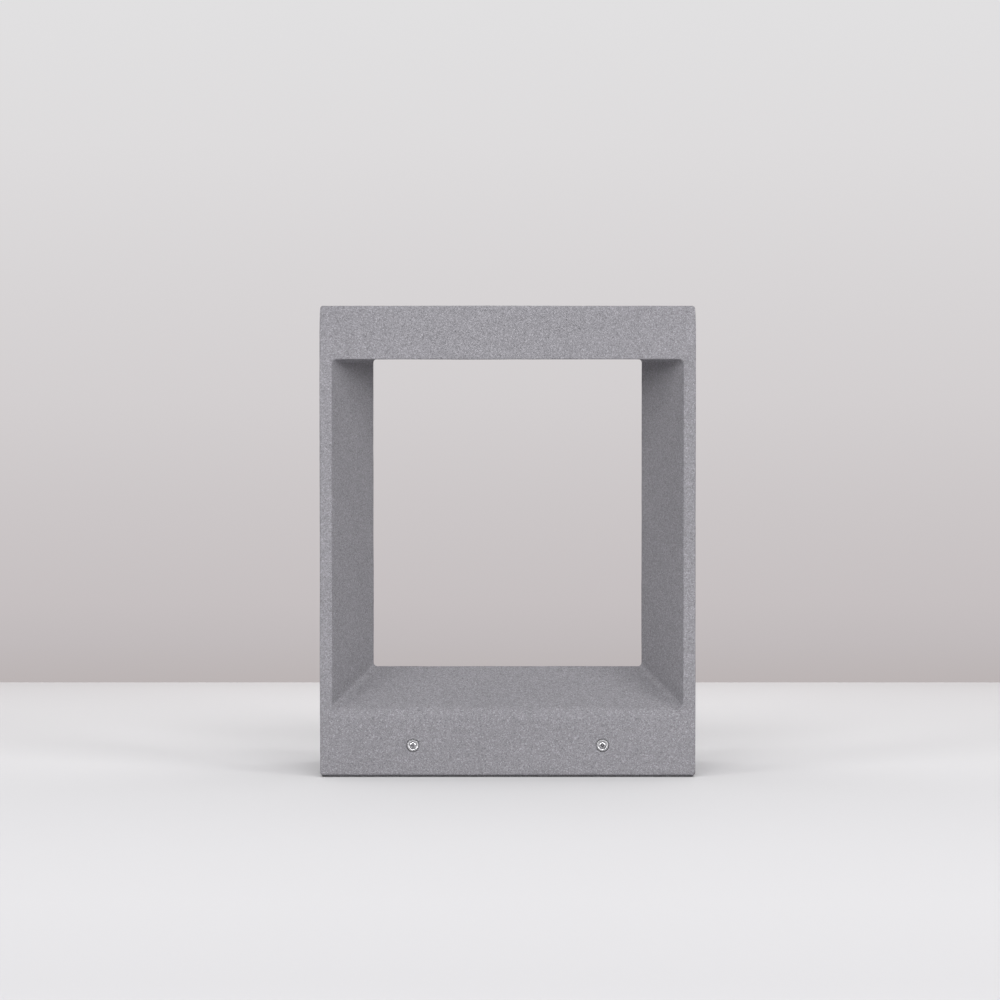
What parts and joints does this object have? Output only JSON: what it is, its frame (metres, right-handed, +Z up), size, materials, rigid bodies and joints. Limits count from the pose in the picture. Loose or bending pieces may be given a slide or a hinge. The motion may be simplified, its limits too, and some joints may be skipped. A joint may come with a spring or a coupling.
{
  "type": "stone lantern",
  "caption": "Upright rectangular frame of cast stone, open right through, with an LED light set in its top beam and the wiring and a ground bracket in its base.",
  "frame": {"origin": "on the ground, under the centre of the base", "axes": "+Z up, +X to the right and +Y to the back as seen from the front; the cable duct is in the +X leg"},
  "size_m": [0.2, 0.1, 0.251],
  "materials": {
    "stone": "fine sanded sandstone grain, matt, blue-grey",
    "foam": "closed-cell foam, matt",
    "galvanised_steel": "galvanised, faint spangle",
    "zinc_plated": "zinc plated, satin",
    "stainless_steel": "stainless, satin",
    "black_nylon": "moulded nylon, matt",
    "grey_plastic": "moulded, fine texture",
    "black_rubber": "moulded, matt",
    "duct_plastic": "extruded, matt",
    "driver_case": "moulded case filled with potting resin",
    "wire_insulation": "smooth insulation",
    "terminal_nylon": "natural nylon",
    "brass": "machined",
    "lead_sheath": "smooth silicone sheath",
    "cast_aluminium": "die cast, satin",
    "thermal_silicone": "soft pad, matt",
    "board_white": "white solder mask",
    "led_phosphor": "phosphor-filled silicone in a white package",
    "white_plastic": "moulded",
    "opal": "opal polycarbonate, satin",
    "clear_silicone": "translucent silicone"
  },
  "bodies": {
    "root": {"stone_frame": "stone", "base_gasket": "foam", "mounting_bracket": "galvanised_steel", "rivet_nuts": "zinc_plated", "screw_washers": "zinc_plated", "lid_screws": "zinc_plated", "box_fixing_screws": "zinc_plated", "terminal_screws": "zinc_plated", "terminal_block_screws": "zinc_plated", "body_screws": "stainless_steel", "lens_bezel": "stainless_steel", "bezel_screws": "stainless_steel", "board_screws": "stainless_steel", "housing_screws": "stainless_steel", "cable_bush": "black_nylon", "inlet_gland_body": "black_nylon", "inlet_gland_cap": "black_nylon", "lead_gland_bodies": "black_nylon", "lead_gland_caps": "black_nylon", "gland_locknuts": "black_nylon", "wiring_box": "grey_plastic", "wiring_box_lid": "grey_plastic", "lid_gasket": "black_rubber", "inlet_gland_seal": "black_rubber", "lead_gland_seals": "black_rubber", "cable_conduit": "duct_plastic", "led_driver": "driver_case", "driver_leads": "wire_insulation", "lead_cores": "wire_insulation", "terminal_block": "terminal_nylon", "terminal_sleeves": "brass", "housing_inserts": "brass", "led_lead": "lead_sheath", "led_housing": "cast_aluminium", "thermal_pad": "thermal_silicone", "led_board": "board_white", "led_chips": "led_phosphor", "board_connector": "white_plastic", "diffuser_lens": "opal", "lens_gasket": "clear_silicone"}
  },
  "joints": []
}
